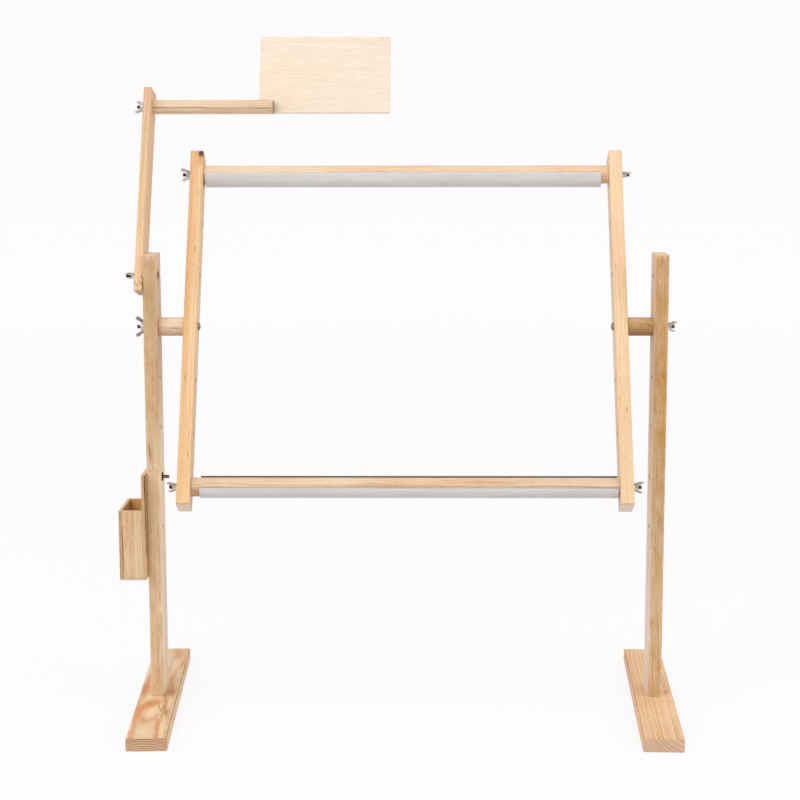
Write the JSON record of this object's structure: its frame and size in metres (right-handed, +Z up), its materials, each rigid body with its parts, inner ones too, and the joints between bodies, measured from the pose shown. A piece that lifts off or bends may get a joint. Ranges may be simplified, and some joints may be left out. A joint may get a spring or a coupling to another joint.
{
  "type": "embroidery floor stand",
  "caption": "Wooden floor stand with a tilting scroll frame between posts, clip-on cloth rods, a swinging chart board and a tool box.",
  "frame": {"origin": "on the floor, midway between the two posts and at their middle front to back", "axes": "+Z up, +Y away from the person who sits at the stand, +X to that person's right"},
  "size_m": [0.857, 0.4622, 1.0267],
  "materials": {
    "post_wood": "bare sanded softwood",
    "frame_wood": "bare sanded pine",
    "box_wood": "bare thin boards",
    "board_wood": "pale thin plywood",
    "clip_plastic": "white hard plastic",
    "zinc_steel": "zinc plated",
    "yellow_steel": "yellow passivated, dull"
  },
  "bodies": {
    "stand": {"left_foot": "post_wood", "right_foot": "post_wood", "left_post": "post_wood", "right_post": "post_wood", "left_foot_screws": "zinc_steel", "right_foot_screws": "zinc_steel", "left_spacer": "frame_wood", "right_spacer": "frame_wood", "chart_arm_bolt": "yellow_steel", "tool_box_bolt": "zinc_steel", "tool_box_tee_nut": "yellow_steel"},
    "frame": {"left_side_bar": "frame_wood", "right_side_bar": "frame_wood", "left_pivot_bolt": "yellow_steel", "right_pivot_bolt": "yellow_steel"},
    "top_rod": {"top_rod": "frame_wood", "top_rod_studs": "zinc_steel"},
    "bottom_rod": {"bottom_rod": "frame_wood", "bottom_rod_studs": "zinc_steel"},
    "top_clip": {"top_clip": "clip_plastic"},
    "bottom_clip": {"bottom_clip": "clip_plastic"},
    "chart_arm": {"chart_arm": "post_wood"},
    "chart_holder": {"chart_dowel": "frame_wood", "chart_dowel_stud": "zinc_steel", "chart_board": "board_wood", "chart_board_screws": "zinc_steel"},
    "tool_box": {"tool_box_plate": "box_wood", "tool_box_front": "box_wood", "tool_box_rear": "box_wood", "tool_box_side": "box_wood", "tool_box_bottom": "box_wood"},
    "left_pivot_wing_nut": {"left_pivot_wing_nut": "zinc_steel"},
    "right_pivot_wing_nut": {"right_pivot_wing_nut": "zinc_steel"},
    "top_left_wing_nut": {"top_left_wing_nut": "zinc_steel"},
    "top_right_wing_nut": {"top_right_wing_nut": "zinc_steel"},
    "bottom_left_wing_nut": {"bottom_left_wing_nut": "zinc_steel"},
    "bottom_right_wing_nut": {"bottom_right_wing_nut": "zinc_steel"},
    "chart_arm_wing_nut": {"chart_arm_wing_nut": "zinc_steel"},
    "chart_dowel_wing_nut": {"chart_dowel_wing_nut": "zinc_steel"}
  },
  "joints": [
    {"name": "frame_tilt", "type": "hinge", "parent": "stand", "child": "frame", "pos_m": [0, 0, 0.59], "axis": [-1, 0, 0], "continuous": true},
    {"name": "top_rod_turn", "type": "hinge", "parent": "frame", "child": "top_rod", "pos_m": [0, 0.11878, 0.81339], "axis": [1, 0, 0], "continuous": true},
    {"name": "bottom_rod_turn", "type": "hinge", "parent": "frame", "child": "bottom_rod", "pos_m": [0, -0.11878, 0.36661], "axis": [1, 0, 0], "continuous": true},
    {"name": "top_clip_turn", "type": "hinge", "parent": "top_rod", "child": "top_clip", "pos_m": [0, 0.11878, 0.81339], "axis": [1, 0, 0], "continuous": true},
    {"name": "bottom_clip_turn", "type": "hinge", "parent": "bottom_rod", "child": "bottom_clip", "pos_m": [0, -0.11878, 0.36661], "axis": [1, 0, 0], "continuous": true},
    {"name": "chart_arm_tilt", "type": "hinge", "parent": "stand", "child": "chart_arm", "pos_m": [-0.393, 0, 0.667], "axis": [-1, 0, 0], "range_deg": [-103, 47]},
    {"name": "chart_holder_turn", "type": "hinge", "parent": "chart_arm", "child": "chart_holder", "pos_m": [-0.393, 0.13333, 0.91776], "axis": [-1, 0, 0], "range_deg": [-75, 75]},
    {"name": "tool_box_swing", "type": "hinge", "parent": "stand", "child": "tool_box", "pos_m": [-0.393, 0, 0.359], "axis": [-1, 0, 0], "continuous": true},
    {"name": "left_pivot_nut_turn", "type": "hinge", "parent": "frame", "child": "left_pivot_wing_nut", "pos_m": [-0.397, 0, 0.59], "axis": [1, 0, 0], "continuous": true},
    {"name": "right_pivot_nut_turn", "type": "hinge", "parent": "frame", "child": "right_pivot_wing_nut", "pos_m": [0.397, 0, 0.59], "axis": [1, 0, 0], "continuous": true},
    {"name": "top_left_nut_turn", "type": "hinge", "parent": "top_rod", "child": "top_left_wing_nut", "pos_m": [-0.338, 0.11878, 0.81339], "axis": [1, 0, 0], "continuous": true},
    {"name": "top_right_nut_turn", "type": "hinge", "parent": "top_rod", "child": "top_right_wing_nut", "pos_m": [0.338, 0.11878, 0.81339], "axis": [1, 0, 0], "continuous": true},
    {"name": "bottom_left_nut_turn", "type": "hinge", "parent": "bottom_rod", "child": "bottom_left_wing_nut", "pos_m": [-0.338, -0.11878, 0.36661], "axis": [1, 0, 0], "continuous": true},
    {"name": "bottom_right_nut_turn", "type": "hinge", "parent": "bottom_rod", "child": "bottom_right_wing_nut", "pos_m": [0.338, -0.11878, 0.36661], "axis": [1, 0, 0], "continuous": true},
    {"name": "chart_arm_nut_turn", "type": "hinge", "parent": "stand", "child": "chart_arm_wing_nut", "pos_m": [-0.409, 0, 0.667], "axis": [1, 0, 0], "continuous": true},
    {"name": "chart_dowel_nut_turn", "type": "hinge", "parent": "chart_holder", "child": "chart_dowel_wing_nut", "pos_m": [-0.409, 0.13333, 0.91776], "axis": [1, 0, 0], "continuous": true}
  ]
}
